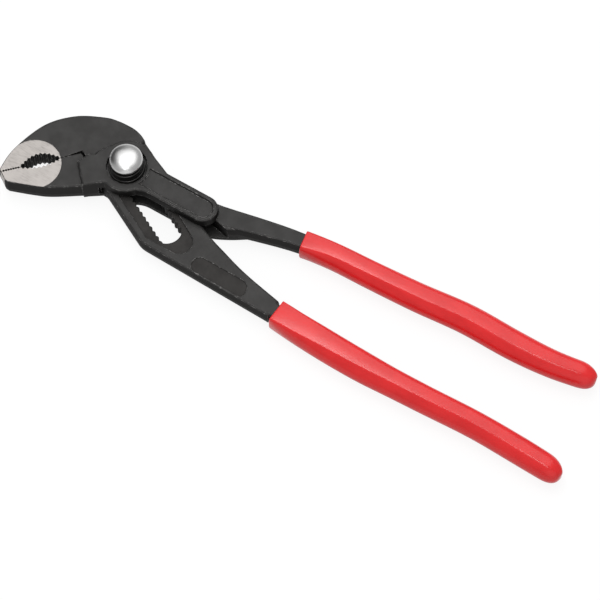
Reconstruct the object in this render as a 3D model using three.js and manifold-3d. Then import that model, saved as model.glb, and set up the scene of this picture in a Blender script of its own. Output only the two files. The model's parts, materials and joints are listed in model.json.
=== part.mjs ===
// Water pump pliers with a push-button box joint, about 300 mm long.
// Millimetres, +Z up. The tool lies on its rear cheek, handles towards +X, button upwards.
// While it is drawn, the bolt axis is the Z axis and the two arms share the middle plane z = 0.
import * as THREE from 'three';
import { mergeVertices, toCreasedNormals } from 'three/addons/utils/BufferGeometryUtils.js';
import Module from 'manifold-3d';

// Thicknesses
const ARM_HALF = 4.2;
const JAW_FRONT = 6.4;
const TANG_HALF = 4.6;
const FRONT_CHEEK = 4.8;
const REAR_CHEEK = 3.2;
const EDGE_RADIUS = 1.0;
const FORGING_DRAFT = 0.35;

// Clearances
const SLIDE_GAP = 0.2;
const WINDOW_GAP = 0.45;
const RUN_GAP = 0.15;
const JAW_GAP = 0.3;
const FIT_GAP = 0.25;

// Movements
const OPEN_ANGLE = THREE.MathUtils.degToRad(24);
const NOTCHES = 12;
const BUTTON_TRAVEL = 6.8;

// Rack slot in the sliding arm
const SLOT_ANGLE = THREE.MathUtils.degToRad(-27);
const TOOTH_PITCH = 3.0;
const TOOTH_DEPTH = 1.1;
const TOOTH_STEPS = 6;
const SLOT_HALF = 5.15;
const SLOT_END_RISE = 1.6;
const TONGUE_LOW = 14.2;
const TONGUE_HIGH = 15.0;
const TRACK_HALF = 10.4;
const TRACK_DEPTH = 1.0;

// Bolt, button and spring
const REAR_JOURNAL_RADIUS = 7.2;
const FRONT_JOURNAL_RADIUS = 5.0;
const BOLT_REAR_SET = 0.3;
const COLLAR_GAP = 0.1;
const SPIGOT_RADIUS = 3.2;
const SPIGOT_LENGTH = 2.0;
const COUNTERBORE_RADIUS = 9.75;
const COUNTERBORE_DEPTH = 3.2;
const SEAT_THICKNESS = 0.6;
const BUTTON_RADIUS = 7.9;
const BUTTON_RIM = 1.4;
const BUTTON_DOME = 2.6;
const WIRE = 0.9;
const SPRING_TURNS = 3;
const SPRING_WIDE = 9.0;
const SPRING_NARROW = 6.5;

// Box body around the bolt
const BOSS_RADIUS = 14.0;
const BAR_LOW = -7.7;
const BAR_HIGH = 6.9;
const BAR_END = 50.0;
const REAR_TAB_SET = 2.4;
const REAR_WEB_START = 42.0;
const REAR_WEB_END = 65.0;
const PANEL_DEPTH = 1.0;
const PANEL_FLARE = 0.6;
const PANEL_RIM = 3.0;

// Jaws
const JAW_ANGLE = THREE.MathUtils.degToRad(45.5);
const NOSE = new THREE.Vector2(-50.3, -32.1);
const FLAT_JAW = 9.6;
const PIPE_JAW_END = 28.2;
const JAW_LENGTH = 39.6;
const HEEL_RELIEF = 1.0;
const HEEL_FLAT = 3.0;
const UPPER_ARCH = 4.1;
const LOWER_ARCH = 1.8;
const FINE_PITCH = 1.2;
const FINE_DEPTH = 0.45;
const COARSE_PITCH = 2.1;
const COARSE_DEPTH = 0.85;
const GROUND_DEPTH = 0.2;
const GROUND_RADIUS = 12.9;
const GROUND_CENTRE = new THREE.Vector2(-39, -20.8);

// Handles
const GRIP_HALF_WIDTH = 5.7;
const GRIP_HALF_THICKNESS = 6.0;
const UPPER_GRIP = { start: 90.3, swell: { at: 180, reach: 50, width: 0.9 } };
const LOWER_GRIP = { start: 98.0, swell: { at: 126, reach: 55, width: 1.3 } };
const ARM_END = 96.6;
const GRIP_END_CAP = 9;
const TANG_END_HALF = 3.7;

// Panel for a mark on the sliding arm, left bare
const MARK_DEPTH = 0.4;

// Values that follow from the sizes above
const BAR_MIDDLE = (BAR_LOW + BAR_HIGH) / 2;
const BAR_HALF = (BAR_HIGH - BAR_LOW) / 2;
const WINDOW_HALF = ARM_HALF + SLIDE_GAP;
const BOX_TOP = WINDOW_HALF + FRONT_CHEEK;
const BOX_BOTTOM = -WINDOW_HALF - REAR_CHEEK;
const TRACK_HALF_THICKNESS = ARM_HALF - TRACK_DEPTH;
const SLOT_TRAVEL = NOTCHES * TOOTH_PITCH;
const SLOT_END_RADIUS = REAR_JOURNAL_RADIUS + FIT_GAP;
const SEAT_TOP = BOX_TOP - COUNTERBORE_DEPTH + SEAT_THICKNESS;
const BUTTON_BASE = SEAT_TOP + WIRE + BUTTON_TRAVEL + FIT_GAP;
const ALL_HEIGHTS = [BOX_BOTTOM - 1, BOX_TOP + 1];
const ROUND_SEGMENTS = 48;

const wasm = await Module();
wasm.setup();

// Turns a closed geometry into a solid that can be joined and cut.
function solid(geometry) {
  const bare = geometry.clone();
  bare.deleteAttribute('normal');
  bare.deleteAttribute('uv');
  const welded = mergeVertices(bare, 1e-4);
  return new wasm.Manifold(new wasm.Mesh({
    numProp: 3,
    vertProperties: new Float32Array(welded.attributes.position.array),
    triVerts: new Uint32Array(welded.index.array),
  }));
}

// Turns a solid back into a geometry.
function geometryOf(body) {
  const mesh = body.getMesh();
  const geometry = new THREE.BufferGeometry();
  geometry.setAttribute('position', new THREE.BufferAttribute(new Float32Array(mesh.vertProperties), 3));
  geometry.setIndex(new THREE.BufferAttribute(new Uint32Array(mesh.triVerts), 1));
  return geometry;
}

// The points of a shape, anticlockwise and without repeats.
function outlineOf(shape, divisions) {
  const points = shape.getPoints(divisions);
  const kept = points.filter((p, i) => p.distanceTo(points[(i + 1) % points.length]) > 0.02);
  return THREE.ShapeUtils.isClockWise(kept) ? kept.reverse() : kept;
}

// Moves an anticlockwise outline outwards by a distance, or inwards by a negative one.
function grown(outline, distance) {
  return outline.map((p, i) => {
    const before = outline[(i + outline.length - 1) % outline.length];
    const after = outline[(i + 1) % outline.length];
    const a = new THREE.Vector2(p.y - before.y, before.x - p.x).normalize();
    const b = new THREE.Vector2(after.y - p.y, p.x - after.x).normalize();
    const miter = a.clone().add(b).divideScalar(Math.max(0.35, 1 + a.dot(b)));
    return p.clone().addScaledVector(miter, distance);
  });
}

// A closed body through rings of points, from the lowest ring to the highest.
function loft(rings) {
  const count = rings[0].length;
  const positions = rings.flat().flatMap((p) => [p.x, p.y, p.z]);
  const faces = [];
  for (let k = 0; k + 1 < rings.length; k += 1) {
    for (let i = 0; i < count; i += 1) {
      const a = k * count + i;
      const b = k * count + (i + 1) % count;
      faces.push(a, b, b + count, a, b + count, a + count);
    }
  }
  return { positions, faces, count };
}

// Wraps loft data and its end faces in a geometry.
function lofted({ positions, faces }, ends) {
  const geometry = new THREE.BufferGeometry();
  geometry.setAttribute('position', new THREE.BufferAttribute(new Float32Array(positions), 3));
  geometry.setIndex([...faces, ...ends]);
  return geometry;
}

// A forged plate: draft runs from the parting plane z = 0 to rounded edges at both faces.
function plate(outline, bottom, top) {
  const edge = (face, side) => [
    { z: face, grow: -FORGING_DRAFT - EDGE_RADIUS },
    { z: face - side * 0.3 * EDGE_RADIUS, grow: -FORGING_DRAFT - 0.3 * EDGE_RADIUS },
    { z: face - side * EDGE_RADIUS, grow: -FORGING_DRAFT },
  ];
  const levels = [...edge(bottom, -1), { z: 0, grow: 0 }, ...edge(top, 1).reverse()];
  const rings = levels.map(({ z, grow }) => grown(outline, grow)
    .map((p) => new THREE.Vector3(p.x, p.y, z)));
  return capped(rings);
}

// A closed body through two or more rings, with flat ends.
function capped(rings) {
  const data = loft(rings);
  const last = (rings.length - 1) * data.count;
  const lower = THREE.ShapeUtils.triangulateShape(rings[0], []).flatMap(([a, b, c]) => [a, c, b]);
  const upper = THREE.ShapeUtils.triangulateShape(rings.at(-1), []).flat().map((i) => i + last);
  return solid(lofted(data, [...lower, ...upper]));
}

// What is cut for a sunk panel: its walls lean outwards from the floor to the mouth and go on above it.
function pocket(outline, floor, mouth, flare) {
  const levels = [{ z: floor, grow: 0 }, { z: 2 * mouth - floor, grow: 2 * flare }];
  return capped(levels.map(({ z, grow }) => grown(outline, grow)
    .map((p) => new THREE.Vector3(p.x, p.y, z))));
}

// A straight-sided prism between two heights.
function prism(shape, [bottom, top], divisions = 12) {
  const geometry = new THREE.ExtrudeGeometry(shape, {
    depth: top - bottom,
    bevelEnabled: false,
    curveSegments: divisions,
  });
  geometry.translate(0, 0, bottom);
  return solid(geometry);
}

// A round bar on the Z axis.
function round(radius, [bottom, top]) {
  const geometry = new THREE.CylinderGeometry(radius, radius, top - bottom, ROUND_SEGMENTS);
  geometry.rotateX(Math.PI / 2);
  geometry.translate(0, 0, (bottom + top) / 2);
  return solid(geometry);
}

// A point given along the slot and across it, towards the upper handle.
function slotPoint(along, across) {
  return new THREE.Vector2(along, across).rotateAround(new THREE.Vector2(), SLOT_ANGLE);
}

// A point given along the jaw line from the nose and above it.
function jawPoint(along, above) {
  return new THREE.Vector2(along, above).rotateAround(new THREE.Vector2(), JAW_ANGLE).add(NOSE);
}

// Distance from the slot's middle to the rack's edge: rounded teeth with sharp notches between them.
function rackEdge(along) {
  const phase = along / TOOTH_PITCH - Math.floor(along / TOOTH_PITCH);
  return SLOT_HALF + TOOTH_DEPTH * (1 - Math.sin(Math.PI * phase));
}

// Points along the rack's edge between two notches.
function rackSide(firstNotch, lastNotch, gap) {
  const points = [];
  for (let i = firstNotch * TOOTH_STEPS; i <= lastNotch * TOOTH_STEPS; i += 1) {
    const along = i * TOOTH_PITCH / TOOTH_STEPS;
    points.push(new THREE.Vector2(along, rackEdge(along) - gap));
  }
  return points;
}

// The toothed outline on both sides of the slot, closed by the points of its ends.
function rackOutline(firstNotch, lastNotch, gap, startPoints = [], endPoints = []) {
  const upper = rackSide(firstNotch, lastNotch, gap);
  const lower = upper.map((p) => new THREE.Vector2(p.x, -p.y)).reverse();
  const points = [...startPoints, ...upper, ...endPoints, ...lower];
  return new THREE.Shape(points.map((p) => slotPoint(p.x, p.y)));
}

// The round end of the slot, which clears the bolt at its last notch.
function slotEndArc() {
  const half = Math.asin(SLOT_HALF / SLOT_END_RADIUS);
  const arc = new THREE.Path().absarc(SLOT_TRAVEL, 0, SLOT_END_RADIUS, half, -half, true);
  return arc.getPoints(10);
}

// The jaw profile without teeth: a flat at the nose, an arch for pipe, and a flat at the heel.
function jawProfile(arch, side) {
  const line = side * JAW_GAP / 2;
  const middle = (FLAT_JAW + PIPE_JAW_END) / 2;
  return new THREE.SplineCurve([
    new THREE.Vector2(FLAT_JAW, line),
    new THREE.Vector2((FLAT_JAW + middle) / 2, line + side * arch * 0.72),
    new THREE.Vector2(middle, line + side * arch),
    new THREE.Vector2((PIPE_JAW_END + middle) / 2, line + side * arch * 0.72),
    new THREE.Vector2(PIPE_JAW_END, line),
  ]);
}

// The toothed jaw edge from before the nose to the heel, in jaw coordinates.
function toothedEdge(arch, side) {
  const line = side * JAW_GAP / 2;
  const points = [new THREE.Vector2(-6, line), new THREE.Vector2(FINE_PITCH / 2, line)];
  for (let along = FINE_PITCH; along + FINE_PITCH / 2 < FLAT_JAW; along += FINE_PITCH) {
    points.push(new THREE.Vector2(along, line + side * FINE_DEPTH));
    points.push(new THREE.Vector2(along + FINE_PITCH / 2, line));
  }
  const curve = jawProfile(arch, side);
  const teeth = Math.round(curve.getLength() / COARSE_PITCH);
  for (let i = 0; i < teeth; i += 1) {
    points.push(curve.getPointAt(i / teeth));
    const root = curve.getPointAt((i + 0.5) / teeth);
    const along = curve.getTangentAt((i + 0.5) / teeth);
    points.push(root.add(new THREE.Vector2(-along.y, along.x).multiplyScalar(side * COARSE_DEPTH)));
  }
  points.push(curve.getPoint(1));
  return points;
}

// What is cut from a jaw: everything on the far side of its toothed edge.
function jawVoid(arch, side, heelPoints) {
  const edge = toothedEdge(arch, side);
  const points = [...edge, ...heelPoints, new THREE.Vector2(-6, -side * 12)];
  return prism(new THREE.Shape(points.map((p) => jawPoint(p.x, p.y))), ALL_HEIGHTS);
}

// The ground face at the jaws' sides: a disc that runs out over the nose.
function groundFace() {
  const shape = new THREE.Shape();
  shape.absarc(GROUND_CENTRE.x, GROUND_CENTRE.y, GROUND_RADIUS, -1.08, 2.78, false);
  shape.lineTo(-62, -15.8);
  shape.lineTo(-62, -44);
  shape.lineTo(-32.5, -44);
  const front = prism(shape, [JAW_FRONT - GROUND_DEPTH, BOX_TOP], 24);
  const rear = prism(shape, [BOX_BOTTOM, GROUND_DEPTH - ARM_HALF], 24);
  return front.add(rear);
}

// Middle lines of the two handles, from the joint to the end of the grip.
const UPPER_LINE = new THREE.SplineCurve([
  new THREE.Vector2(38, 0.4),
  new THREE.Vector2(50, 2.3),
  new THREE.Vector2(70, 7.2),
  new THREE.Vector2(86, 10.6),
  new THREE.Vector2(105, 13.1),
  new THREE.Vector2(127, 14.0),
  new THREE.Vector2(150, 15.2),
  new THREE.Vector2(175, 17.3),
  new THREE.Vector2(200, 17.0),
  new THREE.Vector2(220, 18.0),
  new THREE.Vector2(240.6, 21.4),
]);
const LOWER_LINE = new THREE.SplineCurve([
  new THREE.Vector2(84, -24.6),
  new THREE.Vector2(98, -25.9),
  new THREE.Vector2(115, -27.1),
  new THREE.Vector2(145, -28.1),
  new THREE.Vector2(175, -27.5),
  new THREE.Vector2(203, -26.4),
  new THREE.Vector2(226, -26.9),
  new THREE.Vector2(249, -28.0),
]);

// Where a handle's middle line reaches a distance along X.
function lineAt(curve, x) {
  let low = 0;
  let high = 1;
  for (let i = 0; i < 40; i += 1) {
    const middle = (low + high) / 2;
    if (curve.getPoint(middle).x < x) {
      low = middle;
    } else {
      high = middle;
    }
  }
  return low;
}

// The outline of a tang along its handle's middle line, narrowing to its rounded end.
function tangOutline(curve, { start, end, half, taper }, grow) {
  const steps = 24;
  const left = [];
  const right = [];
  for (let i = 0; i <= steps; i += 1) {
    const t = THREE.MathUtils.lerp(lineAt(curve, start), lineAt(curve, end + grow), i / steps);
    const point = curve.getPoint(t);
    const along = curve.getTangent(t);
    const narrowed = Math.min(1, (point.x - start) / taper);
    const reach = grow + THREE.MathUtils.lerp(half, TANG_END_HALF, narrowed);
    const across = new THREE.Vector2(-along.y, along.x).multiplyScalar(reach);
    left.push(point.clone().add(across));
    right.push(point.clone().sub(across));
  }
  return [...right, ...left.reverse()];
}

// How much wider than its ends a grip is at a distance along X.
function swellAt({ at, reach, width }, x) {
  const away = Math.min(1, Math.abs(x - at) / reach);
  return width * (1 + Math.cos(Math.PI * away)) / 2;
}

// A dipped sleeve: rounded sections along the handle's middle line, closed by a dome at the end.
function gripBody(curve, start, swell) {
  const sides = 20;
  const stations = 26;
  const from = lineAt(curve, start);
  const end = curve.getPoint(1).x;
  const rings = [];
  for (let k = 0; k < stations; k += 1) {
    const t = THREE.MathUtils.lerp(from, 1, Math.sin((k / (stations - 1)) * Math.PI / 2) ** 0.85);
    const centre = curve.getPoint(Math.min(t, 0.9995));
    const along = curve.getTangent(t);
    const left = Math.max(0, end - centre.x);
    const cap = left < GRIP_END_CAP ? Math.sqrt(1 - (1 - left / GRIP_END_CAP) ** 2) : 1;
    const halfWidth = GRIP_HALF_WIDTH + swellAt(swell, centre.x);
    const ring = [];
    for (let i = 0; i < sides; i += 1) {
      const turn = (i + 0.5) / sides * Math.PI * 2;
      const c = Math.cos(turn);
      const s = Math.sin(turn);
      const size = (Math.abs(c) ** 3.2 + Math.abs(s) ** 3.2) ** (-1 / 3.2);
      const across = c * size * halfWidth * Math.max(cap, 0.05);
      const height = s * size * GRIP_HALF_THICKNESS * Math.max(0.25 + 0.75 * cap, 0.05);
      ring.push(new THREE.Vector3(centre.x - along.y * across, centre.y + along.x * across, height));
    }
    rings.push(ring);
  }
  const data = loft(rings);
  const last = (rings.length - 1) * data.count;
  const ends = [];
  for (let i = 1; i + 1 < data.count; i += 1) {
    ends.push(0, i + 1, i, last, last + i, last + i + 1);
  }
  return solid(lofted(data, ends));
}

// Cuts the tang's pocket out of a grip.
function grip(curve, { start, swell }, tang, tangHalf) {
  const hollow = new THREE.Shape(tangOutline(curve, tang, FIT_GAP));
  const height = tangHalf + FIT_GAP;
  const sleeve = gripBody(curve, start, swell).subtract(prism(hollow, [-height, height]));
  return geometryOf(sleeve);
}

const UPPER_TANG = { start: 40, end: 229, half: 6.0, taper: 60 };
const LOWER_TANG = { start: 85, end: 237, half: 5.0, taper: 15 };

// The space the sliding arm needs between the cheeks, at every notch and opening angle.
function windowShape() {
  const reach = TONGUE_LOW + WINDOW_GAP;
  const left = slotPoint(-60, -reach);
  const foot = -Math.PI / 2 + SLOT_ANGLE;
  const swung = new THREE.Vector2(0, -reach).rotateAround(new THREE.Vector2(), SLOT_ANGLE - OPEN_ANGLE);
  const along = new THREE.Vector2(40, 0).rotateAround(new THREE.Vector2(), SLOT_ANGLE - OPEN_ANGLE);
  const nearest = slotPoint(0, -reach);
  const shape = new THREE.Shape();
  shape.moveTo(left.x, left.y);
  shape.lineTo(nearest.x, nearest.y);
  shape.absarc(0, 0, reach, foot, foot - OPEN_ANGLE, true);
  shape.lineTo(swung.x + along.x, swung.y + along.y);
  shape.lineTo(90, -45);
  const wall = armEdge().map((p) => p.clone().sub(slotPoint(SLOT_TRAVEL, -WINDOW_GAP)));
  shape.lineTo(90, wall[0].y);
  wall.forEach((p) => shape.lineTo(p.x, p.y));
  const top = slotPoint(-60, TONGUE_HIGH + WINDOW_GAP);
  shape.lineTo(top.x, top.y);
  return shape;
}

// The sliding arm's edge towards the upper handle, from the grip back to the tongue.
function armEdge() {
  const curve = new THREE.SplineCurve([
    new THREE.Vector2(ARM_END, -20.7),
    new THREE.Vector2(82, -17.8),
    new THREE.Vector2(72, -15.4),
    new THREE.Vector2(61.6, -12.1),
    slotPoint(52, 15.9),
    slotPoint(40, TONGUE_HIGH),
  ]);
  return curve.getPoints(20);
}

// The outline of a cheek: a tab on the lower jaw, the boss round the bolt and the bar to the tang.
// The front bar ends round; the rear one sets its tab back and runs out under the tang.
function cheekOutline(rear) {
  const tabSet = rear ? REAR_TAB_SET : 0;
  const cheek = new THREE.Shape();
  cheek.moveTo(-22.0 + tabSet, -10.0);
  cheek.lineTo(-12.4, -20.2 + tabSet);
  cheek.lineTo(-6.0, -14.6 + tabSet / 2);
  cheek.absarc(0, 0, BOSS_RADIUS, -1.86, -0.72, false);
  cheek.quadraticCurveTo(13.2, BAR_LOW, 17, BAR_LOW);
  if (rear) {
    cheek.lineTo(REAR_WEB_START, BAR_LOW);
    cheek.splineThru([[50, -6.2], [58, -2.3], [REAR_WEB_END, 2.2]].map((p) => new THREE.Vector2(...p)));
    cheek.quadraticCurveTo(REAR_WEB_END + 3.4, 5.4, REAR_WEB_END, 8.2);
    cheek.splineThru([[50, 7.4], [REAR_WEB_START, BAR_HIGH]].map((p) => new THREE.Vector2(...p)));
  } else {
    cheek.absarc(BAR_END - BAR_HALF, BAR_MIDDLE, BAR_HALF, -Math.PI / 2, Math.PI / 2, false);
  }
  cheek.lineTo(18.5, BAR_HIGH);
  cheek.absarc(0, 0, BOSS_RADIUS, 0.95, 2.72, false);
  cheek.quadraticCurveTo(-16.6, 1.5, -16.6, -1.8);
  cheek.lineTo(-19.2, -3.4);
  return outlineOf(cheek, 10);
}

// Forged half with the lower jaw, the two cheeks of the box and the upper tang.
function boxHalf() {
  const cheeks = plate(cheekOutline(false), -ARM_HALF, BOX_TOP)
    .add(plate(cheekOutline(true), BOX_BOTTOM, ARM_HALF));

  const jaw = new THREE.Shape();
  const tip = jawPoint(-0.6, 3);
  const heel = jawPoint(JAW_LENGTH + 3, 3);
  jaw.moveTo(tip.x, tip.y);
  jaw.lineTo(NOSE.x - 0.4, NOSE.y - 0.6);
  jaw.lineTo(-46.6, -35.4);
  jaw.lineTo(-44.6, -35.6);
  jaw.splineThru([
    new THREE.Vector2(-34.2, -31.8),
    new THREE.Vector2(-25.6, -27.9),
    new THREE.Vector2(-12.4, -19.2),
  ]);
  jaw.lineTo(-4, -8);
  jaw.lineTo(heel.x, heel.y);
  const heelCut = [-JAW_GAP / 2, 12].map((above) => new THREE.Vector2(JAW_LENGTH + 12, above));
  const lowerJaw = plate(outlineOf(jaw, 8), -ARM_HALF, JAW_FRONT)
    .subtract(jawVoid(LOWER_ARCH, -1, heelCut))
    .subtract(prism(windowShape(), ALL_HEIGHTS, 16));

  const tang = plate(tangOutline(UPPER_LINE, UPPER_TANG, 0), -TANG_HALF, TANG_HALF);

  const panel = new THREE.Shape();
  const panelHalf = BAR_HALF - PANEL_RIM;
  panel.moveTo(0, BAR_MIDDLE - panelHalf);
  panel.lineTo(BAR_END - BAR_HALF, BAR_MIDDLE - panelHalf);
  panel.absarc(BAR_END - BAR_HALF, BAR_MIDDLE, panelHalf, -Math.PI / 2, Math.PI / 2, false);
  panel.lineTo(0, BAR_MIDDLE + panelHalf);
  const panels = pocket(outlineOf(panel, 12), BOX_TOP - PANEL_DEPTH, BOX_TOP, PANEL_FLARE);
  const boss = round(BOSS_RADIUS - PANEL_RIM, ALL_HEIGHTS);

  return geometryOf(cheeks
    .add(lowerJaw.subtract(groundFace()))
    .add(tang.subtract(prism(windowShape(), ALL_HEIGHTS, 16)))
    .subtract(prism(windowShape(), [-WINDOW_HALF, WINDOW_HALF], 16))
    .subtract(panels.subtract(boss))
    .subtract(round(COUNTERBORE_RADIUS, [BOX_TOP - COUNTERBORE_DEPTH, BOX_TOP + 1]))
    .subtract(round(FRONT_JOURNAL_RADIUS + RUN_GAP, [0, BOX_TOP]))
    .subtract(round(REAR_JOURNAL_RADIUS + RUN_GAP, [BOX_BOTTOM - 1, 0])));
}

// Adds the outer edge of the upper jaw to a shape, from the tongue over the crown to the nose.
function traceDome(shape) {
  const crown = slotPoint(-8.5, TONGUE_HIGH);
  shape.lineTo(crown.x, crown.y);
  shape.quadraticCurveTo(-4.9, 19.9, -10.0, 20.2);
  shape.splineThru([
    new THREE.Vector2(-16.7, 19.9),
    new THREE.Vector2(-24.2, 18.1),
    new THREE.Vector2(-36.9, 11.2),
    new THREE.Vector2(-47.0, -0.6),
    new THREE.Vector2(-52.4, -18.6),
    new THREE.Vector2(-52.2, -31.6),
  ]);
}

// Forged half with the upper jaw, the tongue with the rack slot and the lower tang.
function slottedHalf() {
  const armCorner = slotPoint(33.5, -TONGUE_LOW);
  const heel = slotPoint(-16, -TONGUE_LOW);
  const nose = jawPoint(-0.6, -3);
  const outline = new THREE.Shape();
  outline.moveTo(nose.x, nose.y);
  outline.lineTo(heel.x, heel.y);
  outline.lineTo(armCorner.x, armCorner.y);
  outline.quadraticCurveTo(armCorner.x + 2.4, armCorner.y - 1.2, armCorner.x + 6, armCorner.y - 1.2);
  outline.lineTo(ARM_END, -30.6);
  armEdge().forEach((p) => outline.lineTo(p.x, p.y));
  traceDome(outline);
  const forging = plate(outlineOf(outline, 8), -ARM_HALF, ARM_HALF);

  const raised = new THREE.Shape();
  raised.moveTo(nose.x, nose.y);
  raised.lineTo(heel.x, heel.y);
  raised.lineTo(0, 0);
  traceDome(raised);
  const cheekSpace = new THREE.Shape(grown(cheekOutline(false), WINDOW_GAP));
  const head = plate(outlineOf(raised, 8), -ARM_HALF, JAW_FRONT)
    .subtract(prism(cheekSpace, [ARM_HALF, BOX_TOP]));

  const heelFoot = jawPoint(PIPE_JAW_END + HEEL_FLAT, JAW_GAP / 2);
  const heelEnd = jawPoint(JAW_LENGTH, JAW_GAP / 2 + HEEL_RELIEF);
  const alongTongue = slotPoint(7, 0).add(heelEnd);
  const heelCut = [heelFoot, heelEnd, alongTongue].map((p) => p.clone().sub(NOSE)
    .rotateAround(new THREE.Vector2(), -JAW_ANGLE));

  const slotStart = new THREE.Vector2(-SLOT_END_RADIUS - SLOT_END_RISE, 0);
  const slot = rackOutline(-3, NOTCHES + 1.5, 0, [slotStart], slotEndArc());

  const track = new THREE.Shape();
  const trackLeft = slotPoint(-10, -TRACK_HALF);
  const trackCorner = slotPoint(33, -TRACK_HALF);
  const trackRight = slotPoint(-10, TRACK_HALF);
  track.moveTo(trackLeft.x, trackLeft.y);
  track.lineTo(trackCorner.x, trackCorner.y);
  track.quadraticCurveTo(25.6, -25.3, 28, -25.3);
  track.absarc(41, -19, 6.3, -Math.PI / 2, Math.PI / 2 + SLOT_ANGLE, false);
  track.lineTo(trackRight.x, trackRight.y);
  const trackFront = prism(track, [TRACK_HALF_THICKNESS, JAW_FRONT + 1]);
  const trackRear = prism(track, [-ARM_HALF - 1, -TRACK_HALF_THICKNESS]);

  const mark = new THREE.Shape();
  mark.moveTo(55.6, -28.6);
  mark.lineTo(78, -28.9);
  mark.quadraticCurveTo(81, -28.9, 81, -26);
  mark.quadraticCurveTo(81, -21.4, 77, -20.6);
  mark.lineTo(55.6, -20.4);
  mark.absarc(55.6, -24.5, 4.1, Math.PI / 2, Math.PI * 1.5, false);

  const tang = plate(tangOutline(LOWER_LINE, LOWER_TANG, 0), -ARM_HALF, ARM_HALF);

  return geometryOf(forging.add(head)
    .subtract(jawVoid(UPPER_ARCH, 1, heelCut))
    .subtract(groundFace())
    .add(tang)
    .subtract(trackFront.add(trackRear))
    .subtract(prism(slot, ALL_HEIGHTS))
    .subtract(prism(mark, [ARM_HALF - MARK_DEPTH, ARM_HALF + 1])));
}

// Bolt: rear journal, toothed block in the rack, flat-sided collar, front journal and spigot.
function jointBolt() {
  const blockTop = TRACK_HALF_THICKNESS;
  const collarTop = WINDOW_HALF - COLLAR_GAP;
  const blockBottom = -WINDOW_HALF + COLLAR_GAP;
  const teeth = rackOutline(-3, 3, RUN_GAP);
  const collar = new THREE.Shape([
    slotPoint(-REAR_JOURNAL_RADIUS, -FRONT_JOURNAL_RADIUS),
    slotPoint(REAR_JOURNAL_RADIUS, -FRONT_JOURNAL_RADIUS),
    slotPoint(REAR_JOURNAL_RADIUS, FRONT_JOURNAL_RADIUS),
    slotPoint(-REAR_JOURNAL_RADIUS, FRONT_JOURNAL_RADIUS),
  ]);
  const core = round(REAR_JOURNAL_RADIUS, [BOX_BOTTOM + BOLT_REAR_SET, collarTop]);
  const block = prism(teeth, [blockBottom, blockTop]).add(prism(collar, [blockBottom, collarTop]));
  const rear = round(REAR_JOURNAL_RADIUS, [BOX_BOTTOM + BOLT_REAR_SET, blockBottom]);
  return geometryOf(core.intersect(block)
    .add(rear)
    .add(round(FRONT_JOURNAL_RADIUS, [0, BUTTON_BASE]))
    .add(round(SPIGOT_RADIUS, [0, BUTTON_BASE + SPIGOT_LENGTH])));
}

// Domed cap pressed on the bolt's spigot.
function pushButton() {
  const bore = SPIGOT_RADIUS + RUN_GAP;
  const boreTop = BUTTON_BASE + SPIGOT_LENGTH + RUN_GAP;
  const rim = BUTTON_BASE + BUTTON_RIM;
  const profile = new THREE.Path();
  profile.moveTo(0, boreTop);
  profile.lineTo(bore, boreTop);
  profile.lineTo(bore, BUTTON_BASE);
  profile.lineTo(BUTTON_RADIUS - 0.5, BUTTON_BASE);
  profile.lineTo(BUTTON_RADIUS, BUTTON_BASE + 0.5);
  profile.lineTo(BUTTON_RADIUS, rim);
  profile.bezierCurveTo(BUTTON_RADIUS - 0.6, rim + BUTTON_DOME * 0.72,
    BUTTON_RADIUS * 0.45, rim + BUTTON_DOME, 0, rim + BUTTON_DOME);
  const geometry = new THREE.LatheGeometry(profile.getPoints(8), ROUND_SEGMENTS);
  geometry.rotateX(Math.PI / 2);
  return geometryOf(solid(geometry));
}

// Thin ring in the counterbore, which the spring stands on and turns with.
function springSeat() {
  const bottom = BOX_TOP - COUNTERBORE_DEPTH;
  const ring = round(COUNTERBORE_RADIUS - RUN_GAP, [bottom, SEAT_TOP])
    .subtract(round(FRONT_JOURNAL_RADIUS + RUN_GAP, ALL_HEIGHTS));
  return geometryOf(ring);
}

// Middle line of the conical spring: its turns fit inside one another when it is pressed flat.
class SpringLine extends THREE.Curve {
  getPoint(t, target = new THREE.Vector3()) {
    const turn = t * SPRING_TURNS * Math.PI * 2;
    const radius = THREE.MathUtils.lerp(SPRING_WIDE, SPRING_NARROW, t);
    const low = SEAT_TOP + WIRE / 2 + FIT_GAP / 2;
    const high = BUTTON_BASE - WIRE / 2 - FIT_GAP / 2;
    const rise = THREE.MathUtils.smoothstep(t, 0.02, 0.98);
    const height = THREE.MathUtils.lerp(low, high, rise);
    return target.set(Math.cos(turn) * radius, Math.sin(turn) * radius, height);
  }
}

// Least distance between the surfaces of neighbouring turns.
function leastSpringGap(curve) {
  const perTurn = 40;
  const points = curve.getPoints(perTurn * SPRING_TURNS);
  let least = Infinity;
  for (let i = 0; i < points.length; i += 1) {
    for (let j = i + perTurn / 2; j < points.length; j += 1) {
      least = Math.min(least, points[i].distanceTo(points[j]) - WIRE);
    }
  }
  return least;
}

// Conical compression spring under the button.
function buttonSpring() {
  const curve = new SpringLine();
  console.log(`button_spring: least gap between turns ${leastSpringGap(curve).toFixed(2)} mm`);
  const section = new THREE.Shape();
  section.absarc(0, 0, WIRE / 2, 0, Math.PI * 2, false);
  return new THREE.ExtrudeGeometry(new THREE.Shape(section.getPoints(5).slice(0, 5)), {
    steps: 8 * SPRING_TURNS,
    bevelEnabled: false,
    extrudePath: curve,
  });
}

const FORGED = { color: 0x46423f, roughness: 0.55, metalness: 0.8 };
const BOLT_STEEL = { color: 0x5a5856, roughness: 0.45, metalness: 0.9 };
const CHROME = { color: 0xe6e6e8, roughness: 0.12, metalness: 1 };
const SPRING_STEEL = { color: 0x9a9a9c, roughness: 0.35, metalness: 1 };
const RED_VINYL = { color: 0xb3202a, roughness: 0.45, metalness: 0 };

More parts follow.
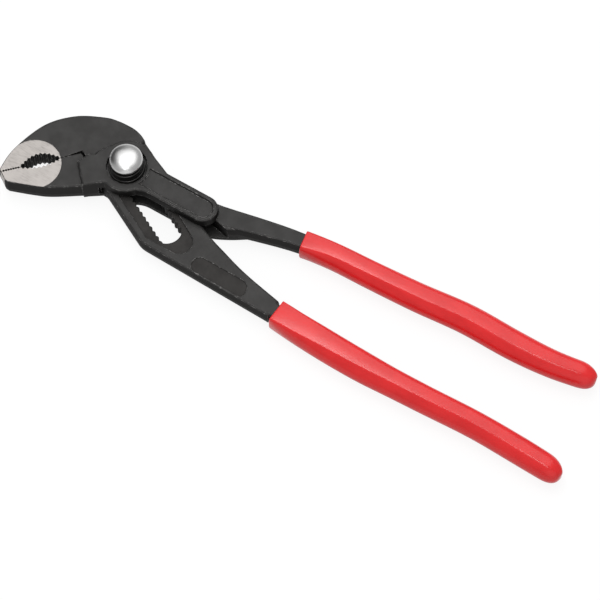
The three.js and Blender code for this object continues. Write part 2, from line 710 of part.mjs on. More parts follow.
const pieces = [
  ['box_half', boxHalf(), FORGED],
  ['slotted_half', slottedHalf(), FORGED],
  ['joint_bolt', jointBolt(), BOLT_STEEL],
  ['push_button', pushButton(), CHROME],
  ['spring_seat', springSeat(), BOLT_STEEL],
  ['button_spring', buttonSpring(), SPRING_STEEL],
  ['upper_grip', grip(UPPER_LINE, UPPER_GRIP, UPPER_TANG, TANG_HALF), RED_VINYL],
  ['lower_grip', grip(LOWER_LINE, LOWER_GRIP, LOWER_TANG, ARM_HALF), RED_VINYL],
];

// The frame's origin is the middle of the underside of the whole tool.
const box = new THREE.Box3();
for (const [, geometry] of pieces) {
  geometry.computeBoundingBox();
  box.union(geometry.boundingBox);
}
const middle = box.getCenter(new THREE.Vector3());
const shift = new THREE.Vector3(-middle.x, -middle.y, -box.min.z);
console.log(`bolt axis and mid-plane at ${shift.toArray().map((v) => v.toFixed(3)).join(', ')}`);

const part = new THREE.Group();
part.name = 'water_pump_pliers';
for (const [name, geometry, look] of pieces) {
  geometry.translate(shift.x, shift.y, shift.z);
  const material = new THREE.MeshStandardMaterial(look);
  const mesh = new THREE.Mesh(toCreasedNormals(geometry, Math.PI / 5), material);
  mesh.name = name;
  part.add(mesh);
}

export default part;
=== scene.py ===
import json
import math

import bmesh
import bpy
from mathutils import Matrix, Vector


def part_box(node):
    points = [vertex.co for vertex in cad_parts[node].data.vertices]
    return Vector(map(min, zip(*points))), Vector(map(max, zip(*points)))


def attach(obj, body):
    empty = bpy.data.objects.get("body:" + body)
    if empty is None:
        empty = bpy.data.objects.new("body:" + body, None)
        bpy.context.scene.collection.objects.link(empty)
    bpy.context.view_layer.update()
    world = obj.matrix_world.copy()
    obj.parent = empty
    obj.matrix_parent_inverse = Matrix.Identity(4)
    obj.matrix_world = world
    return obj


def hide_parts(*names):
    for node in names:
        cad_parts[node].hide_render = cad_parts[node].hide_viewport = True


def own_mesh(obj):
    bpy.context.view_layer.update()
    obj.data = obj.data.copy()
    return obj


# Looks of the water pump pliers. Metres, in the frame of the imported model.
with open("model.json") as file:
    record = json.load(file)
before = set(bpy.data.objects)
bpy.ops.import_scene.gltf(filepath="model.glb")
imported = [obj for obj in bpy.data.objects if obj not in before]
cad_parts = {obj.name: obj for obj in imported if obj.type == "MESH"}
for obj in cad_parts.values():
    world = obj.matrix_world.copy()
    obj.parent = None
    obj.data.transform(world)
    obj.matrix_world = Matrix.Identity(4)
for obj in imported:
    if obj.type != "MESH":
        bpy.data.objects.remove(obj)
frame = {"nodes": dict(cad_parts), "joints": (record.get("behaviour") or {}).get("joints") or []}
bpy.context.view_layer.update()

MM = 0.001
JOINTS = {joint["name"]: joint for joint in frame["joints"]}
NODES = frame["nodes"]

# The bolt's axis, at the middle plane that the two arms share
BOLT = Vector(JOINTS["jaw_pivot"]["pos_m"])

# Camera at the photograph's viewing angle, its distance in metres
VIEW_AZIMUTH = math.radians(31)
VIEW_ELEVATION = math.radians(66)
VIEW_DISTANCE = 1.1
VIEW_AIM = BOLT + Vector((103.7, -14.0, 0)) * MM
VIEW_LENS = 142.2

# Sizes of the pieces, in millimetres, with places counted from the bolt

# Middle lines of the two grips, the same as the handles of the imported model
UPPER_LINE = [(38, 0.4), (50, 2.3), (70, 7.2), (86, 10.6), (105, 13.1), (127, 14.0),
              (150, 15.2), (175, 17.3), (200, 17.0), (220, 18.0), (240.6, 21.4)]
LOWER_LINE = [(84, -24.6), (98, -25.9), (115, -27.1), (145, -28.1), (175, -27.5),
              (203, -26.4), (226, -26.9), (249, -28.0)]

# Half the width and half the thickness of each tang
UPPER_TANG_HALF = (4.1, 4.6)
LOWER_TANG_HALF = (3.9, 4.2)

# Along each grip: distance, half of the flat on top, reach of front and back, half thickness, squareness
UPPER_SECTIONS = [(90.3, 3.5, 5.8, 5.66, 5.7, 2.4), (100, 3.0, 6.35, 5.65, 6.2, 1.5),
                  (112, 2.6, 6.55, 5.86, 6.4, 1.2), (140, 2.2, 6.95, 6.43, 6.4, 1.15),
                  (176, 2.2, 7.35, 6.90, 6.4, 1.15), (200, 1.9, 7.25, 6.83, 6.4, 1.22),
                  (220, 1.5, 6.65, 6.21, 6.4, 1.35), (240.6, 1.1, 6.1, 5.64, 6.3, 1.5)]
LOWER_SECTIONS = [(98, 4.7, 6.2, 5.97, 5.4, 2.8), (106, 4.3, 6.95, 6.41, 5.9, 1.8),
                  (123, 3.4, 7.55, 6.97, 6.3, 1.25), (145, 2.5, 7.45, 6.97, 6.4, 1.15),
                  (165, 2.0, 6.85, 6.35, 6.4, 1.15), (202, 1.7, 6.55, 6.05, 6.4, 1.22),
                  (230, 1.4, 6.55, 6.11, 6.4, 1.35), (249, 1.0, 6.1, 5.65, 6.3, 1.5)]

# Least roundness of a grip's front, and how its back differs
FRONT_ROUNDNESS = 1.9
BACK_FLAT = 0.6
BACK_SQUARENESS = 2.2

# Mouth of a grip: its rolled lip, and the pocket for the tang
GRIP_LIP = 0.5
TANG_FIT = 0.12
POCKET_DEPTHS = (14, 8, 3, GRIP_LIP)
POCKET_CORNER = 1.5
POCKET_SQUARENESS = 2

# Rounded end of a grip: its length, the powers of its curves, and the shares that the last ring keeps
GRIP_TIP = 9.0
TIP_FRONT_POWER = 2.8
TIP_BACK_POWER = 1.9
TIP_HEIGHT_POWER = 2.6
TIP_LAST_WIDTH = 0.04
TIP_LAST_HEIGHT = 0.35

# Steps over a quarter of a grip's section, and along its lip, body and tip
SECTION_STEPS = 14
LIP_STEPS = 6
BODY_STEPS = 110
TIP_STEPS = 24

# Search for a place on a curve from 0 to 1: halvings, last place, and step for the direction
CURVE_HALVINGS = 40
CURVE_LAST = 0.9995
CURVE_STEP = 0.002

# Domed button: outside, radius and depth of the bore for the bolt's spigot, and small roundings
BUTTON_RADIUS = 7.9
BUTTON_RIM = 1.4
BUTTON_EDGE = 0.5
BUTTON_BORE = (3.35, 2.15)
BORE_CORNER_SHARE = 0.97
BUTTON_CHAMFER = 0.05
BUTTON_POLE = 0.01

# Curve of the dome: inset and share of the rise at its shoulder, share of the radius at its crown
SHOULDER_INSET = 0.6
SHOULDER_RISE = 0.72
CROWN_SHARE = 0.45

# Steps round the button, over its lower edge and over its dome
BUTTON_SIDES = 128
EDGE_STEPS = 6
DOME_STEPS = 33

# Conical spring between its seat and the button
SPRING_WIRE = 0.9
SPRING_TURNS = 3
SPRING_WIDE = 9.0
SPRING_NARROW = 6.5
SPRING_END_GAP = 0.12
SPRING_LEVEL_SHARE = 0.02
TURN_STEPS = 56
WIRE_SIDES = 14

# Levels of the jaws' ground faces and of the sunk faces of the arm, from the arms' middle plane; the sunk
# faces get darker steel as painted shade
GROUND_LEVELS = (6.2, -4.0)
SUNK_LEVELS = (3.2, -3.2, 3.8)

# What counts as a face at a level: slack in height, and least upright part of its normal
LEVEL_SLACK = 0.03
LEVEL_NORMAL = 0.99

# Ground nose of the lower jaw: where it ends, and how far at least it faces -X and -Y
NOSE_BACK = -46.0
NOSE_FACING_X = -0.3
NOSE_FACING_Y = -0.4

# Places of the other two materials on a forging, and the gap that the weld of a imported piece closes
GROUND_SLOT = 1
SUNK_SHADE_SLOT = 2
WELD_GAP = 0.002

# Colours, as linear values
FORGED_DARK = (0.042, 0.041, 0.0402, 1)
FORGED_LIGHT = (0.053, 0.052, 0.051, 1)
# Painted shade: the darker colour of the forgings' upright walls
FORGED_WALL_SHADE = (0.0190, 0.0182, 0.0176, 1)
FORGED_SHEEN = (0.4, 0.4, 0.4, 1)
# Painted shade in the recesses: darker steel for the arm's sunk faces
SUNK_SHADE_DARK = (0.029, 0.0275, 0.0265, 1)
SUNK_SHADE_LIGHT = (0.040, 0.038, 0.0365, 1)
# Light steel of scuffed edges, also the colour of a faint painted highlight along every edge
WORN_AND_HIGHLIT_STEEL = (0.33, 0.32, 0.315, 1)
GROUND_STEEL = (0.372, 0.348, 0.330, 1)
GROUND_SHADE = (0.228, 0.213, 0.202, 1)
BOLT_STEEL = (0.045, 0.044, 0.043, 1)
SPRING_STEEL = (0.055, 0.054, 0.053, 1)
CHROME = (0.58, 0.58, 0.575, 1)
VINYL_RED = (0.76, 0.017, 0.019, 1)
VINYL_DEEP = (0.69, 0.013, 0.015, 1)
WHITE = (1, 1, 1, 1)

# Forged edges: reach of the wear, least share of it, which is a faint painted highlight along every edge,
# radius of the rounding, and samples of both
WEAR_REACH = 0.5
EDGE_HIGHLIGHT_LEAST = 0.10
EDGE_ROUNDING = 0.8
EDGE_SAMPLES = 6

# Shade of the clouds on machined steel
CLOUD_SHADE = 0.75

# Floor, its size in metres: glow and grey in the picture, and grey for the light that it gives back
FLOOR_SIZE = 6.0
FLOOR_GLOW = 0.88
FLOOR_SEEN = (0.13, 0.13, 0.13, 1)
FLOOR_BOUNCE = (0.5, 0.5, 0.5, 1)

# World: light on the object, and the room that mirrored rays see, with a bright and a dark side
WORLD_LIGHT = 0.62
ROOM_LIGHT = 0.55
FRONT_GAIN = 0.55
FRONT_SIDE = Vector((0.47, -0.78, 0.42)).normalized()
FRONT_SPREAD = (0.82, 0.97)
DARK_LOSS = 0.52
DARK_SIDE = Vector((-0.83, 0.20, 0.52)).normalized()
DARK_SPREAD = (0.72, 0.92)

# Lamps: name, place, sides of the soft box in metres, power in watts
LAMP_AIM = Vector((0.0, 0.0, 0.01))
LAMPS = [("overhead", (-0.30, 0.40, 1.1), (1.0, 1.0), 4.7),
         ("front_edge", (-0.13, -0.10, 1.1), (1.0, 0.12), 3.4)]


# Node helpers

def new_material(name):
    """A material, its node tree and the principled shader in it."""
    material = bpy.data.materials.new(name)
    material.use_nodes = True
    tree = material.node_tree
    return material, tree, tree.nodes["Principled BSDF"]


def feed(tree, sockets, values):
    """Links each input to a socket, or sets it to a plain value."""
    for socket, value in zip(sockets, values):
        if isinstance(value, bpy.types.NodeSocket):
            tree.links.new(value, socket)
        else:
            socket.default_value = value


def feed_named(tree, node, **inputs):
    """Links or sets inputs by their names, with _ for a space."""
    feed(tree, [node.inputs[name.replace("_", " ")] for name in inputs], inputs.values())


def add(tree, kind, options=None, **inputs):
    """Adds a node, sets its options, and links or sets its inputs by name."""
    made = tree.nodes.new(kind)
    for name, value in (options or {}).items():
        setattr(made, name, value)
    feed_named(tree, made, **inputs)
    return made


def math_node(tree, operation, first, second=0.0):
    """A sum, product or other operation on two values or sockets."""
    made = add(tree, "ShaderNodeMath", {"operation": operation})
    feed(tree, made.inputs, (first, second))
    return made.outputs[0]


def dot_product(tree, first, second):
    """The dot product of two vectors or sockets."""
    made = add(tree, "ShaderNodeVectorMath", {"operation": "DOT_PRODUCT"})
    feed(tree, made.inputs, (first, second))
    return made.outputs["Value"]


def noise(tree, size, detail=3.0, roughness=0.55, stretch=(1, 1, 1)):
    """Noise with features of about the given size in metres, fixed to the piece."""
    place = tree.nodes.get("Place") or add(tree, "ShaderNodeTexCoord", {"name": "Place"})
    mapped = add(tree, "ShaderNodeMapping", Vector=place.outputs["Object"], Scale=stretch)
    made = add(tree, "ShaderNodeTexNoise", Vector=mapped.outputs[0], Scale=1 / size,
               Detail=detail, Roughness=roughness)
    return made.outputs["Fac"]


def ramp(tree, value, low, high):
    """Maps a value so that low becomes 0 and high becomes 1, with a soft shoulder."""
    made = add(tree, "ShaderNodeMapRange", {"interpolation_type": "SMOOTHSTEP"},
               Value=value, From_Min=low, From_Max=high)
    return made.outputs[0]


def spread(tree, value, low, high):
    """Maps a value so that 0 becomes low and 1 becomes high."""
    return add(tree, "ShaderNodeMapRange", Value=value, To_Min=low, To_Max=high).outputs[0]


def mix(tree, kind, share, first, second):
    """Mixes two colours (RGBA) or two numbers (FLOAT), plain or from sockets."""
    made = add(tree, "ShaderNodeMix", {"data_type": kind})
    socket_type = "VALUE" if kind == "FLOAT" else kind
    ends = [socket for socket in made.inputs[1:] if socket.type == socket_type]
    feed(tree, [made.inputs["Factor"], *ends], (share, first, second))
    return next(socket for socket in made.outputs if socket.type == socket_type)


def rounded_normal(tree, radius):
    """The normal of a surface whose edges are rounded in its shading."""
    return add(tree, "ShaderNodeBevel", {"samples": EDGE_SAMPLES}, Radius=radius).outputs[0]


def edge_mask(tree, reach):
    """0 on flat faces, rising towards sharp edges within reach."""
    rounded = rounded_normal(tree, reach)
    surface = add(tree, "ShaderNodeNewGeometry")
    likeness = dot_product(tree, rounded, surface.outputs["Normal"])
    return math_node(tree, "SUBTRACT", 1.0, likeness)


def bump(tree, height, distance, strength, **normal):
    """Bump from a height socket, on top of another normal where Normal is given."""
    made = add(tree, "ShaderNodeBump", Height=height, Distance=distance, Strength=strength, **normal)
    return made.outputs[0]


# Materials

def painted_wall_shade(tree):
    """1 on the upright walls of a forging, 0 on its flat faces: where the walls get painted shade."""
    place = add(tree, "ShaderNodeTexCoord")
    split = add(tree, "ShaderNodeSeparateXYZ", Vector=place.outputs["Normal"])
    level = math_node(tree, "ABSOLUTE", split.outputs["Z"])
    return math_node(tree, "SUBTRACT", 1.0, ramp(tree, level, low=0.12, high=0.75))


def forged_steel(name, dark, light, wear_and_highlight_amount):
    """Dark phosphated forging: fine grain, patchy sheen, painted shade on the walls, edges scuffed light,
    with a faint painted highlight along every edge.
    """
    material, tree, shader = new_material(name)
    patches = noise(tree, size=9 * MM)
    grain = noise(tree, size=0.5 * MM, detail=4)
    scuffs = noise(tree, size=2.2 * MM, detail=5, roughness=0.7)
    face = mix(tree, "RGBA", ramp(tree, patches, low=0.3, high=0.7), dark, light)
    # Painted shade: the upright walls are darker than the flat faces
    base = mix(tree, "RGBA", painted_wall_shade(tree), face, FORGED_WALL_SHADE)
    edges = ramp(tree, edge_mask(tree, WEAR_REACH * MM), low=0.005, high=0.06)
    specks = math_node(tree, "MULTIPLY", edges, ramp(tree, scuffs, low=0.49, high=0.60))
    # Scuff specks are wear; the least share on every edge is painted highlight
    bright = math_node(tree, "MAXIMUM", specks, math_node(tree, "MULTIPLY", edges, EDGE_HIGHLIGHT_LEAST))
    rubbed_and_highlit = math_node(tree, "MULTIPLY", bright, wear_and_highlight_amount)
    colour = mix(tree, "RGBA", rubbed_and_highlit, base, WORN_AND_HIGHLIT_STEEL)
    gloss = spread(tree, scuffs, low=0.42, high=0.60)
    rounded = rounded_normal(tree, EDGE_ROUNDING * MM)
    skin = bump(tree, grain, distance=0.06 * MM, strength=0.5, Normal=rounded)
    feed_named(tree, shader, Base_Color=colour, Roughness=gloss, Normal=skin, Metallic=0.55,
               Specular_IOR_Level=0.2, Specular_Tint=FORGED_SHEEN)
    return material


def ground_steel():
    """Bare steel of the jaws' sides, with the lines of the grinding wheel."""
    material, tree, shader = new_material("ground_steel_look")
    lines = noise(tree, size=0.5 * MM, detail=5, roughness=0.7, stretch=(0.12, 1, 1))
    clouds = noise(tree, size=6 * MM)
    scored = ramp(tree, lines, low=0.35, high=0.75)
    shade = math_node(tree, "MULTIPLY", scored, ramp(tree, clouds, low=0.3, high=0.7))
    colour = mix(tree, "RGBA", shade, GROUND_STEEL, GROUND_SHADE)
    gloss = spread(tree, lines, low=0.34, high=0.48)
    skin = bump(tree, lines, distance=0.02 * MM, strength=0.35)
    feed_named(tree, shader, Base_Color=colour, Roughness=gloss, Normal=skin, Metallic=0.6)
    return material


def plain_steel(name, colour, metallic, smooth, rough):
    """Machined steel with fine turning marks, its roughness between two values."""
    material, tree, shader = new_material(name)
    marks = noise(tree, size=0.35 * MM, detail=4, stretch=(0.3, 0.3, 1))
    clouds = noise(tree, size=3 * MM)
    shaded = [channel * CLOUD_SHADE for channel in colour[:3]] + [1]
    base = mix(tree, "RGBA", ramp(tree, clouds, low=0.35, high=0.7), colour, shaded)
    gloss = spread(tree, marks, smooth, rough)
    skin = bump(tree, marks, distance=0.02 * MM, strength=0.3)
    feed_named(tree, shader, Base_Color=base, Roughness=gloss, Normal=skin, Metallic=metallic)
    return material


def chrome():
    """Bright plating with faint hazing and hairlines."""
    material, tree, shader = new_material("chrome_look")
    haze = noise(tree, size=2.5 * MM, detail=4)
    hairlines = noise(tree, size=0.3 * MM, detail=4, stretch=(0.15, 1, 1))
    gloss = spread(tree, haze, low=0.28, high=0.33)
    skin = bump(tree, hairlines, distance=0.004 * MM, strength=0.25)
    feed_named(tree, shader, Base_Color=CHROME, Roughness=gloss, Normal=skin, Metallic=1.0)
    return material


def red_vinyl():
    """Dipped vinyl: even red, slightly wavy skin, fine pores and a satin gloss."""
    material, tree, shader = new_material("red_vinyl_look")
    waves = noise(tree, size=5 * MM, detail=2, stretch=(0.5, 1, 1))
    pores = noise(tree, size=0.35 * MM, detail=3)
    base = mix(tree, "RGBA", ramp(tree, waves, low=0.3, high=0.7), VINYL_RED, VINYL_DEEP)
    gloss = spread(tree, pores, low=0.20, high=0.28)
    wavy = bump(tree, waves, distance=0.05 * MM, strength=0.4)
    skin = bump(tree, pores, distance=0.002 * MM, strength=0.2, Normal=wavy)
    feed_named(tree, shader, Base_Color=base, Roughness=gloss, Normal=skin, IOR=1.46)
    return material


# Shapes

def spline_point(points, t):
    """A point of the smooth curve through the points, t running from 0 to 1."""
    last = len(points) - 1
    place = min(max(t, 0.0), 1.0) * last
    index = min(int(place), last)
    w = place - index
    p0, p1, p2, p3 = (Vector(points[min(max(index + k, 0), last)]) for k in (-1, 0, 1, 2))
    v0 = (p2 - p0) / 2
    v1 = (p3 - p1) / 2
    cubic = 2 * p1 - 2 * p2 + v0 + v1
    square = 3 * p2 - 3 * p1 - 2 * v0 - v1
    return cubic * w ** 3 + square * w ** 2 + v0 * w + p1


def spline_at(points, x):
    """The value of t at which the curve reaches a distance along X."""
    low, high = 0.0, 1.0
    for _ in range(CURVE_HALVINGS):
        middle = (low + high) / 2
        if spline_point(points, middle).x < x:
            low = middle
        else:
            high = middle
    return low


def quarter_section(flat, reach, half_thickness, squareness, roundness):
    """From the middle of a flank up to the flat; low squareness leaves a ridge beside the flat."""
    points = []
    for i in range(SECTION_STEPS + 1):
        turn = math.pi / 2 * (1 - i / SECTION_STEPS)
        out = math.sin(turn) ** (2 / squareness)
        up = max(math.cos(turn), 0) ** (2 / roundness)
        points.append(Vector((flat + (reach - flat) * out, half_thickness * up)))
    return points


def grip_section(flat, front, back, half_thickness, squareness):
    """Closed section with flats above and below, a slanted front and a round back."""
    roundness = max(squareness, FRONT_ROUNDNESS)
    behind = quarter_section(flat + BACK_FLAT, back, half_thickness, BACK_SQUARENESS, BACK_SQUARENESS)
    ahead = quarter_section(flat, front, half_thickness, squareness, roundness)
    above = behind + [Vector((-p.x, p.y)) for p in reversed(ahead)]
    below = [Vector((p.x, -p.y)) for p in reversed(above[1:-1])]
    return above + below


def ring_mesh(name, rings):
    """A closed skin over rings of points, with both ends filled."""
    made = bmesh.new()
    rows = [[made.verts.new(p) for p in ring] for ring in rings]
    count = len(rows[0])
    for low, high in zip(rows, rows[1:]):
        for i in range(count):
            j = (i + 1) % count
            made.faces.new((low[i], low[j], high[j], high[i]))
    made.faces.new(list(reversed(rows[0])))
    made.faces.new(rows[-1])
    bmesh.ops.recalc_face_normals(made, faces=made.faces)
    mesh = bpy.data.meshes.new(name)
    made.to_mesh(mesh)
    made.free()
    for polygon in mesh.polygons:
        polygon.use_smooth = True
    piece = bpy.data.objects.new(name, mesh)
    bpy.context.scene.collection.objects.link(piece)
    return piece


def along_grip(sections, x):
    """The sizes of a grip's section at a distance along X."""
    columns = [[(row[0], row[k]) for row in sections] for k in range(1, len(sections[0]))]
    return [spline_point(column, spline_at(column, x)).y for column in columns]


def grip_ring(line, x, section):
    """A section placed square to the grip's middle line at a distance along X."""
    t = min(spline_at(line, x), CURVE_LAST)
    centre = spline_point(line, t)
    ahead = (spline_point(line, t + CURVE_STEP) - spline_point(line, t - CURVE_STEP)).normalized()
    across = Vector((-ahead.y, ahead.x))
    ring = []
    for p in section:
        spot = Vector((centre.x + across.x * p.x, centre.y + across.y * p.x, p.y))
        ring.append(BOLT + spot * MM)
    return ring


def pocket_rings(line, start, tang_half):
    """The pocket round the tang, from its depth out to the lip."""
    half_width, half_thickness = (half + TANG_FIT for half in tang_half)
    flat = half_width - POCKET_CORNER
    section = grip_section(flat, half_width, half_width, half_thickness, POCKET_SQUARENESS)
    return [grip_ring(line, start + depth, section) for depth in POCKET_DEPTHS]


def lip_rings(line, sections, start):
    """The rolled lip at the mouth."""
    rings = []
    for i in range(LIP_STEPS + 1):
        turn = math.pi / 2 * i / LIP_STEPS
        shrink = GRIP_LIP * (1 - math.sin(turn))
        x = start + GRIP_LIP * (1 - math.cos(turn))
        flat, front, back, thick, square = along_grip(sections, x)
        section = grip_section(flat, front - shrink, back - shrink, thick - shrink, square)
        rings.append(grip_ring(line, x, section))
    return rings


def body_rings(line, sections, start, end):
    """The long body, after its first ring."""
    places = [start + (end - start) * i / BODY_STEPS for i in range(1, BODY_STEPS + 1)]
    return [grip_ring(line, x, grip_section(*along_grip(sections, x))) for x in places]


def fullness(share, power):
    """Falls from 1 to 0 along a rounded end, later where the power is higher."""
    return (1 - share ** power) ** (1 / power)


def tip_rings(line, sections, start):
    """The rounded end."""
    rings = []
    for i in range(1, TIP_STEPS + 1):
        share = math.sin(i / TIP_STEPS * math.pi / 2)
        x = start + GRIP_TIP * share
        flat, front, back, thick, square = along_grip(sections, x)
        near = max(fullness(share, TIP_FRONT_POWER), TIP_LAST_WIDTH)
        far = max(fullness(share, TIP_BACK_POWER), TIP_LAST_WIDTH)
        drop = math.sqrt(max(0, 1 - share ** TIP_HEIGHT_POWER))
        low = TIP_LAST_HEIGHT + (1 - TIP_LAST_HEIGHT) * drop
        section = grip_section(flat * far, front * near, back * far, thick * low, square)
        rings.append(grip_ring(line, x, section))
    return rings


def grip(name, line, sections, tang_half):
    """A dipped sleeve: pocket round the tang, rolled lip, long body and rounded end."""
    start = sections[0][0]
    end = line[-1][0] - GRIP_TIP
    rings = pocket_rings(line, start, tang_half)
    rings += lip_rings(line, sections, start)
    rings += body_rings(line, sections, start + GRIP_LIP, end)
    rings += tip_rings(line, sections, end)
    return ring_mesh(name, rings)


def button_profile(top):
    """Radius and height along the button's outline, from its bore round the rim to the top of the dome."""
    bore_radius, bore_depth = (size * MM for size in BUTTON_BORE)
    radius = BUTTON_RADIUS * MM
    rim = BUTTON_RIM * MM
    edge = BUTTON_EDGE * MM
    chamfer = BUTTON_CHAMFER * MM
    pole = BUTTON_POLE * MM
    profile = [(pole, bore_depth), (bore_radius * BORE_CORNER_SHARE, bore_depth),
               (bore_radius, bore_depth * BORE_CORNER_SHARE), (bore_radius, chamfer),
               (bore_radius + chamfer, 0), (radius - edge - chamfer, 0)]
    for i in range(EDGE_STEPS + 1):
        turn = math.pi / 2 * i / EDGE_STEPS
        profile.append((radius - edge + edge * math.sin(turn), edge - edge * math.cos(turn)))
    shoulder = Vector((radius - SHOULDER_INSET * MM, rim + (top - rim) * SHOULDER_RISE))
    dome = (Vector((radius, rim)), shoulder, Vector((radius * CROWN_SHARE, top)), Vector((0, top)))
    for i in range(DOME_STEPS):
        w = i / DOME_STEPS
        a, b, c = (dome[k].lerp(dome[k + 1], w) for k in range(3))
        profile.append(tuple(a.lerp(b, w).lerp(b.lerp(c, w), w)))
    profile.append((pole, top))
    return profile


def button_mesh():
    """The domed button, turned about the bolt's axis."""
    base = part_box("push_button")[0].z
    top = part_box("push_button")[1].z - base
    turns = [2 * math.pi * k / BUTTON_SIDES for k in range(BUTTON_SIDES)]
    rings = [[Vector((BOLT.x + r * math.cos(a), BOLT.y + r * math.sin(a), base + z)) for a in turns]
             for r, z in button_profile(top)]
    return ring_mesh("push_button_cap", rings)


def spring_mesh():
    """The conical spring as one round wire, its turns closer at both ends."""
    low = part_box("spring_seat")[1].z + (SPRING_WIRE / 2 + SPRING_END_GAP) * MM
    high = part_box("push_button")[0].z - (SPRING_WIRE / 2 + SPRING_END_GAP) * MM
    steps = TURN_STEPS * SPRING_TURNS
    turns = [2 * math.pi * k / WIRE_SIDES for k in range(WIRE_SIDES)]

    def centre(share):
        turn = share * SPRING_TURNS * 2 * math.pi
        radius = (SPRING_WIDE + (SPRING_NARROW - SPRING_WIDE) * share) * MM
        eased = min(max((share - SPRING_LEVEL_SHARE) / (1 - 2 * SPRING_LEVEL_SHARE), 0), 1)
        rise = eased * eased * (3 - 2 * eased)
        x = BOLT.x + radius * math.cos(turn)
        y = BOLT.y + radius * math.sin(turn)
        return Vector((x, y, low + (high - low) * rise))

    rings = []
    for i in range(steps + 1):
        here = centre(i / steps)
        ahead = (centre(min(1, (i + 0.5) / steps)) - centre(max(0, (i - 0.5) / steps))).normalized()
        out = Vector((here.x - BOLT.x, here.y - BOLT.y, 0)).normalized()
        up = ahead.cross(out).normalized()
        out = up.cross(ahead).normalized()
        rings.append([here + (out * math.cos(a) + up * math.sin(a)) * SPRING_WIRE / 2 * MM for a in turns])
    return ring_mesh("button_spring_wire", rings)


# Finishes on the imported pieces

def dress(node, *materials):
    """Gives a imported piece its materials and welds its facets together."""
    piece = NODES[node]
    piece.data.materials.clear()
    for material in materials:
        piece.data.materials.append(material)
    weld = piece.modifiers.new("weld", "WELD")
    weld.merge_threshold = WELD_GAP * MM


def mark_levels(node, levels, slot):
    """Gives the flat faces at some levels one of the piece's other materials."""
    for polygon in NODES[node].data.polygons:
        height = (polygon.center.z - BOLT.z) / MM
        at_level = any(abs(height - level) < LEVEL_SLACK for level in levels)
        if at_level and abs(polygon.normal.z) > LEVEL_NORMAL:
            polygon.material_index = slot


def mark_nose(slot):
    """The blunt front of the lower jaw is ground too."""
    for polygon in NODES["box_half"].data.polygons:
        in_front = (polygon.center.x - BOLT.x) / MM < NOSE_BACK
        if in_front and polygon.normal.x < NOSE_FACING_X and polygon.normal.y < NOSE_FACING_Y:
            polygon.material_index = slot


forged = forged_steel("forged_steel_look", FORGED_DARK, FORGED_LIGHT, wear_and_highlight_amount=1.0)
# Darker steel for the sunk faces, as painted shade in the recesses; their edges get no scuffs and no edge
# highlight
sunk = forged_steel("sunk_shaded_steel_look", SUNK_SHADE_DARK, SUNK_SHADE_LIGHT, wear_and_highlight_amount=0.0)
ground = ground_steel()
bolt_steel = plain_steel("bolt_steel_look", BOLT_STEEL, metallic=0.7, smooth=0.35, rough=0.5)
spring_steel = plain_steel("spring_steel_look", SPRING_STEEL, metallic=0.95, smooth=0.25, rough=0.4)
vinyl = red_vinyl()

for half in ("box_half", "slotted_half"):
    dress(half, forged, ground, sunk)
    mark_levels(half, GROUND_LEVELS, GROUND_SLOT)
# The arm's sunk faces get the darker steel: painted shade in the recesses
mark_levels("slotted_half", SUNK_LEVELS, SUNK_SHADE_SLOT)
mark_nose(GROUND_SLOT)
dress("joint_bolt", bolt_steel)
dress("spring_seat", bolt_steel)

# Finer pieces in place of imported ones

button = button_mesh()
button.data.materials.append(chrome())
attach(button, "push_button")
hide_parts("push_button")

spring = spring_mesh()
spring.data.materials.append(spring_steel)
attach(spring, "spring_seat")
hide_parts("button_spring")
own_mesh(spring)

for name, line, sections, tang_half, body in (
        ("upper_grip_sleeve", UPPER_LINE, UPPER_SECTIONS, UPPER_TANG_HALF, "box_half"),
        ("lower_grip_sleeve", LOWER_LINE, LOWER_SECTIONS, LOWER_TANG_HALF, "slotted_half")):
    sleeve = grip(name, line, sections, tang_half)
    sleeve.data.materials.append(vinyl)
    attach(sleeve, body)
    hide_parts(name.replace("_sleeve", ""))


# Studio

def seen_directly(tree):
    """1 for rays from the camera and for mirrored and refracted rays, 0 for the light on the object."""
    path = add(tree, "ShaderNodeLightPath")
    first = math_node(tree, "MAXIMUM", path.outputs["Is Camera Ray"], path.outputs["Is Glossy Ray"])
    return math_node(tree, "MAXIMUM", first, path.outputs["Is Transmission Ray"])


def make_floor():
    """Pale floor: white where it is lit, a little darker in the object's shadow."""
    bpy.ops.mesh.primitive_plane_add(size=FLOOR_SIZE)
    floor = bpy.context.object
    floor.name = "floor"
    material, tree, shader = new_material("floor_look")
    tree.nodes.remove(shader)
    seen = add(tree, "ShaderNodeBsdfDiffuse", Color=FLOOR_SEEN)
    bounce = add(tree, "ShaderNodeBsdfDiffuse", Color=FLOOR_BOUNCE)
    glow = add(tree, "ShaderNodeEmission", Color=WHITE, Strength=FLOOR_GLOW)
    glowing = add(tree, "ShaderNodeAddShader")
    feed(tree, glowing.inputs, (seen.outputs[0], glow.outputs[0]))
    choice = add(tree, "ShaderNodeMixShader", Fac=seen_directly(tree))
    feed(tree, choice.inputs[1:], (bounce.outputs[0], glowing.outputs[0]))
    feed_named(tree, tree.nodes["Material Output"], Surface=choice.outputs[0])
    floor.data.materials.append(material)


def towards(tree, direction, low, high):
    """Rises from 0 to 1 as a ray of the world comes close to a direction."""
    place = add(tree, "ShaderNodeTexCoord")
    return ramp(tree, dot_product(tree, place.outputs["Generated"], direction), low, high)


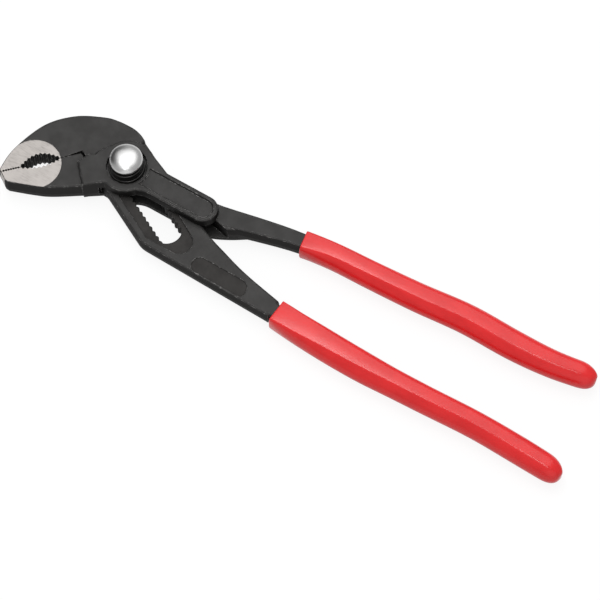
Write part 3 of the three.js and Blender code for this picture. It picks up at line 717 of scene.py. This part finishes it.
def make_world():
    """Even grey light; mirrored rays see a pale room, bright in front and dark on one side."""
    world = bpy.data.worlds.new("studio")
    bpy.context.scene.world = world
    world.use_nodes = True
    tree = world.node_tree
    dark = towards(tree, DARK_SIDE, *DARK_SPREAD)
    front = towards(tree, FRONT_SIDE, *FRONT_SPREAD)
    lifted = math_node(tree, "ADD", ROOM_LIGHT, math_node(tree, "MULTIPLY", front, FRONT_GAIN))
    room = math_node(tree, "SUBTRACT", lifted, math_node(tree, "MULTIPLY", dark, DARK_LOSS))
    path = add(tree, "ShaderNodeLightPath")
    shown = math_node(tree, "MAXIMUM", path.outputs["Is Camera Ray"], path.outputs["Is Transmission Ray"])
    mirrored = mix(tree, "FLOAT", path.outputs["Is Glossy Ray"], WORLD_LIGHT, room)
    strength = mix(tree, "FLOAT", shown, mirrored, 1.0)
    feed_named(tree, tree.nodes["Background"], Color=WHITE, Strength=strength)


def make_lamp(name, place, sides, power):
    """A soft box that faces the tool."""
    lamp = bpy.data.lights.new(name, "AREA")
    lamp.shape = "RECTANGLE"
    lamp.size, lamp.size_y = sides
    lamp.energy = power
    made = bpy.data.objects.new(name, lamp)
    made.location = place
    made.rotation_euler = (LAMP_AIM - Vector(place)).to_track_quat("-Z", "Y").to_euler()
    bpy.context.scene.collection.objects.link(made)


def make_camera():
    """The photograph's viewing angle, through a long lens."""
    back = Vector((math.sin(VIEW_AZIMUTH) * math.cos(VIEW_ELEVATION),
                   -math.cos(VIEW_AZIMUTH) * math.cos(VIEW_ELEVATION),
                   math.sin(VIEW_ELEVATION)))
    camera = bpy.data.objects.new("camera", bpy.data.cameras.new("camera"))
    camera.data.lens = VIEW_LENS
    camera.location = VIEW_AIM + back * VIEW_DISTANCE
    camera.rotation_euler = (-back).to_track_quat("-Z", "Y").to_euler()
    bpy.context.scene.collection.objects.link(camera)
    bpy.context.scene.camera = camera


make_floor()
make_world()
for lamp in LAMPS:
    make_lamp(*lamp)
make_camera()
bpy.context.scene.view_settings.view_transform = "Standard"

bpy.context.view_layer.update()
